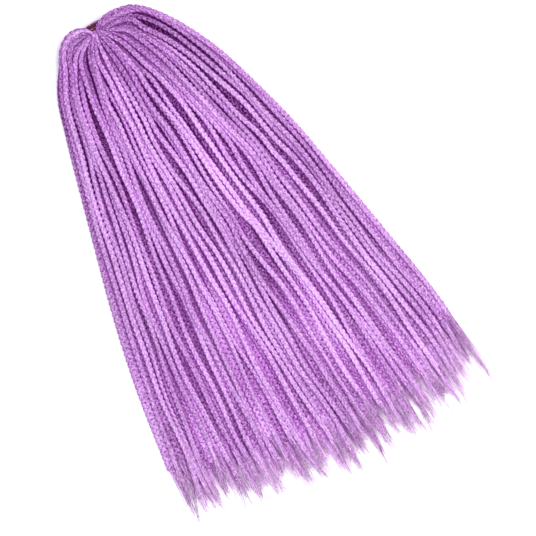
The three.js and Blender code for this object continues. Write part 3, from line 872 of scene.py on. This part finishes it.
class Shader(Nodes):
    """A material's nodes, with a body that has the given looks."""

    def __init__(self, name, looks):
        self.material = bpy.data.materials.new(name)
        self.material.use_nodes = True
        super().__init__(self.material.node_tree)
        self.tree.nodes.clear()
        self.body = self.add("ShaderNodeBsdfPrincipled", looks)
        self.add("ShaderNodeOutputMaterial", {"Surface": self.body.outputs[0]})

    def attribute(self, name, output="Fac"):
        return self.add("ShaderNodeAttribute", attribute_name=name).outputs[output]

    def noise(self, where, scale, detail):
        return self.out("ShaderNodeTexNoise", {"Vector": where, "Scale": scale, "Detail": detail})

    def fibres(self, scale, detail, strength):
        """A noise drawn out along each strand, which also dents the body's surface."""
        stretch = {"Vector": self.attribute("lay", "Vector"), "Scale": scale}
        fibres = self.noise(self.out("ShaderNodeMapping", stretch), 1.0, detail)
        dents = {"Strength": strength, "Distance": FIBRE_DEPTH, "Height": fibres}
        self.put(self.body.inputs["Normal"], self.out("ShaderNodeBump", dents))
        return fibres

    def mixed_colour(self, factor, first, second):
        inputs = {"Factor": factor, "A": first, "B": (*second, 1)}
        return self.add("ShaderNodeMix", inputs, data_type="RGBA").outputs["Result"]


# Lightness of the hair: its base, and how far fibres, patches, crinkle and tint shift it. The tint
# also carries the painted shade of the lower braids and near the tie.
LIGHTNESS = (-0.4, 1.3, 0.5, 0.8, 0.08)
PATCHES, CRINKLE = 22.0, 620.0  # per metre
SUNK = 0.6  # how far the painted groove shade colour sets in where the shade is 0
GROOVE_FROM, GROOVE_SHARE = 0.45, 0.88  # where the painted groove shade sets in, and its largest share
GROOVE_RAGGED = 0.9  # how far the crinkle shifts that
COARSE, COARSE_SHADE = 2.8, -1.5  # how strongly it flecks the hair, and less where it is light


def hair_material(sizes):
    """Synthetic hair: fine fibres along each strand, grooves deepened with painted shade, colour
    scaled by painted shade, pale ends partly painted light, a faint painted glow and a soft sheen.
    """
    looks = {
        "Roughness": 0.5,
        "Specular IOR Level": 0.06,
        # A faint painted glow: the emission lifts the darks with purple.
        "Emission Color": (*sizes.inner_light, 1),
        "Emission Strength": 0.09,
    }
    nodes = Shader("plaited_hair", looks)
    fibres = nodes.fibres(*HAIR_FIBRES)
    place = nodes.add("ShaderNodeTexCoord").outputs["Object"]
    patches = nodes.noise(place, PATCHES, 2.0)
    crinkle = nodes.noise(place, CRINKLE, 1.0)
    tint, shade = nodes.attribute("tint"), nodes.attribute("shade")
    shifts = zip((fibres, patches, crinkle, tint), LIGHTNESS[1:])
    lightness = nodes.scaled_sum(LIGHTNESS[0], *shifts)
    colour = nodes.mixed_colour(lightness, (*sizes.deep_hair, 1), sizes.lit_hair)
    # Painted shade: the groove mask and low shade mix the colour towards the groove colour.
    edge = (nodes.attribute("edge"), 1.0)
    ragged = nodes.scaled_sum(-GROOVE_RAGGED / 2, edge, (crinkle, GROOVE_RAGGED))
    spread = {"Value": ragged, "From Min": GROOVE_FROM, "From Max": 1.0, "To Max": GROOVE_SHARE}
    groove = nodes.out("ShaderNodeMapRange", spread)
    groove_shade_share = nodes.scaled_sum(SUNK, (groove, 1.0), (shade, -SUNK))
    groove_shaded = nodes.mixed_colour(groove_shade_share, colour, sizes.groove_hair)
    faded = nodes.mixed_colour(nodes.attribute("bare"), groove_shaded, sizes.pale_tip)
    speckle = nodes.math("SUBTRACT", crinkle, 0.5)
    fleck = nodes.times(speckle, nodes.scaled_sum(COARSE, (shade, COARSE_SHADE)))
    # The colour is scaled by the painted shade attribute, with flecks.
    shaded = nodes.vector("SCALE", faded, nodes.math("ADD", shade, fleck))
    nodes.put(nodes.body.inputs["Base Color"], shaded)
    return nodes.material


def elastic_material(tie):
    """Dark red elastic covered with wound yarn."""
    nodes = Shader("wound_elastic", {"Roughness": 0.6})
    yarn = nodes.add("ShaderNodeValToRGB", {"Fac": nodes.fibres(*YARN_FIBRES)})
    stops = ((0.45, tie.colour), (0.75, tie.gilt))
    for element, (position, colour) in zip(yarn.color_ramp.elements, stops):
        element.position = position
        element.color = (*colour, 1)
    nodes.put(nodes.body.inputs["Base Color"], yarn.outputs["Color"])
    return nodes.material


def plait_layers(scene, upper, together, piece_name, node_name):
    """Plaits the upper or the lower layers: for each node, a piece of one or two braids."""
    sizes = scene.braid_sizes
    bundle = Bundle(sizes, scene.tie_sizes)
    groups = np.flatnonzero(bundle.upper == upper).reshape(-1, together)
    for number, indices in enumerate(groups, 1):
        paths = sum((braid_paths(bundle, index) for index in indices), [])
        values = {
            "Stitch": sizes.stitch,
            "Tip hairs": sizes.tip_hairs,
            "Seed": sizes.seed + 10 * int(indices[0]),
            "Material": bpy.data.materials.get("plaited_hair") or hair_material(sizes),
        }
        piece = grown_piece(f"{piece_name}_{number:02d}", paths, values)
        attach(piece, "root")
        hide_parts(f"{node_name}_{number:02d}")


class BRAIDS_OT_upper(bpy.types.Operator):
    """Plaits the braids of the two upper layers, one piece each"""

    bl_idname = "braids.upper"
    bl_label = "Plait upper braids"

    def execute(self, context):
        plait_layers(context.scene, True, 1, "plait", "braid")
        return {"FINISHED"}


class BRAIDS_OT_lower(bpy.types.Operator):
    """Plaits the braids of the two lower layers, in pairs"""

    bl_idname = "braids.lower"
    bl_label = "Plait lower braids"

    def execute(self, context):
        plait_layers(context.scene, False, 2, "under_plaits", "under_pair")
        return {"FINISHED"}


CORD_STEPS = 64  # points of one turn of the elastic
CORD_START = 0.25  # turns before the oval's right end, where the cord starts below the braids
CORD_WANDER, CORD_WAVES = 0.25, 1.7  # cords that a turn wanders, and how often in each turn
CORD_SPIN = 3  # cords along which its strands turn once more than by their own twist
CORD_STITCH, CORD_RINGS, CORD_STRANDS = 2.0, 0.5, 0.27  # a twist, its rings and a strand, in cords


class BRAIDS_OT_tie(bpy.types.Operator):
    """Winds the elastic cord round the necks of all braids"""

    bl_idname = "braids.tie"
    bl_label = "Wind elastic"

    def execute(self, context):
        tie = context.scene.tie_sizes
        ends = (-CORD_START * TAU, (tie.turns - CORD_START) * TAU)
        angle = np.linspace(*ends, CORD_STEPS * tie.turns + 1)
        along = np.linspace(-0.5, 0.5, len(angle)) * tie.turns * tie.winding
        along = along + CORD_WANDER * tie.cord * np.sin(CORD_WAVES * angle)
        x, z = np.cos(angle), np.sin(angle)
        normal = unit(np.stack([x / tie.half_width, 0 * angle, z / tie.half_height], axis=1))
        oval = np.stack([tie.half_width * x, along, tie.half_height * z], axis=1)
        points = oval + normal * tie.cord / 2 + np.array(TIE)
        steps = np.linalg.norm(np.diff(points, axis=0), axis=1)
        run = np.concatenate([[0], np.cumsum(steps)])
        side = np.stack([0 * run, np.ones(len(run)), 0 * run], axis=1)
        out = np.cross(unit(np.gradient(points, axis=0)), side)
        side, out = turned(side, out, TAU * run / (CORD_SPIN * tie.cord))
        looks = {"tint": 0.5, "shade": 1.0}
        path = make_path(points, side, out, tie.cord, tie.cord, run, PLAITED, **looks)
        values = {
            "Stitch": CORD_STITCH * tie.cord,
            "Strand share": CORD_STRANDS,
            "Ring spacing": CORD_RINGS * tie.cord,
            "Material": elastic_material(tie),
        }
        piece = grown_piece("wound_elastic", [path], values)
        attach(piece, "root")
        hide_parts("tie_band")
        return {"FINISHED"}


RIGHT = Vector((0.849, -0.528, 0))  # the picture's right and up, on the floor
UP = Vector((0.528, 0.849, 0))
MIDDLE = Vector((0.0189, -0.2661, 0))  # of the picture, from below the tie
SENSOR = 36.0
FLOOR_SIDE = 6
ROOM_LIGHT = 0.6
GAMMA = 0.78  # of the picture
LIGHT_HEIGHT = 1.4

# The lights: how far to the picture's right and up they stand, their side, power and colour.
LIGHTS = {
    "key": (0.4, 0.25, 0.9, 18.5, (1, 1, 1)),
    "fill": (-0.8, -0.3, 1.2, 9.0, (0.84, 0.91, 1)),
}


class BRAIDS_OT_stage(bpy.types.Operator):
    """Lays the pale floor and sets up the lights and the camera above it"""

    bl_idname = "braids.stage"
    bl_label = "Set the stage"

    def execute(self, context):
        stage = context.scene.stage_sizes
        scene = context.scene
        bpy.ops.mesh.primitive_plane_add(size=FLOOR_SIDE)
        floor = context.object
        floor.name = "floor"
        looks = {"Base Color": (*stage.floor, 1), "Roughness": 0.9}
        floor.data.materials.append(Shader("pale_floor", looks).material)

        middle = Vector((TIE.x, TIE.y, 0)) + MIDDLE
        camera = bpy.data.objects.new("camera", bpy.data.cameras.new("camera"))
        scene.collection.objects.link(camera)
        camera.data.sensor_width = SENSOR
        camera.data.lens = SENSOR * stage.camera_height / stage.view_width
        back = RIGHT.cross(UP).normalized()
        turn = Matrix((RIGHT, UP, back)).transposed()
        camera.matrix_world = Matrix.LocRotScale(middle + back * stage.camera_height, turn, None)
        scene.camera = camera

        scene.world = bpy.data.worlds.new("soft_room")
        scene.world.use_nodes = True
        room = scene.world.node_tree.nodes["Background"]
        room.inputs["Color"].default_value = (1, 1, 1, 1)
        room.inputs["Strength"].default_value = ROOM_LIGHT
        for name, (right, up, side, power, colour) in LIGHTS.items():
            light = bpy.data.lights.new(name, "AREA")
            light.color = colour
            light.size = side
            light.energy = power
            lamp = bpy.data.objects.new(name, light)
            scene.collection.objects.link(lamp)
            where = middle + RIGHT * right + UP * up + back * LIGHT_HEIGHT
            aim = (middle - where).to_track_quat("-Z", "Y")
            lamp.matrix_world = Matrix.LocRotScale(where, aim, None)
        scene.view_settings.view_transform = "Standard"
        scene.view_settings.gamma = GAMMA
        return {"FINISHED"}


class BRAIDS_PT_panel(bpy.types.Panel):
    """Sizes of the bundle, and a button for each group of pieces"""

    bl_idname = "BRAIDS_PT_panel"
    bl_label = "Crochet box braids"
    bl_space_type = "VIEW_3D"
    bl_region_type = "UI"
    bl_category = "Braids"

    def draw(self, context):
        for group in GROUPS:
            box = self.layout.box()
            sizes = getattr(context.scene, group)
            for name in type(sizes).__annotations__:
                box.prop(sizes, name)
        for operator in OPERATORS:
            self.layout.operator(operator.bl_idname)


GROUPS = {"braid_sizes": BraidSizes, "tie_sizes": TieSizes, "stage_sizes": StageSizes}
OPERATORS = (BRAIDS_OT_upper, BRAIDS_OT_lower, BRAIDS_OT_tie, BRAIDS_OT_stage)
CLASSES = (*GROUPS.values(), *OPERATORS, BRAIDS_PT_panel)


def register():
    for cls in CLASSES:
        bpy.utils.register_class(cls)
    for name, cls in GROUPS.items():
        setattr(bpy.types.Scene, name, bpy.props.PointerProperty(type=cls))


def unregister():
    for name in GROUPS:
        delattr(bpy.types.Scene, name)
    for cls in reversed(CLASSES):
        bpy.utils.unregister_class(cls)


def main():
    register()
    bpy.ops.braids.stage()
    bpy.ops.braids.tie()
    bpy.ops.braids.lower()
    bpy.ops.braids.upper()


if __name__ == "__main__":
    main()
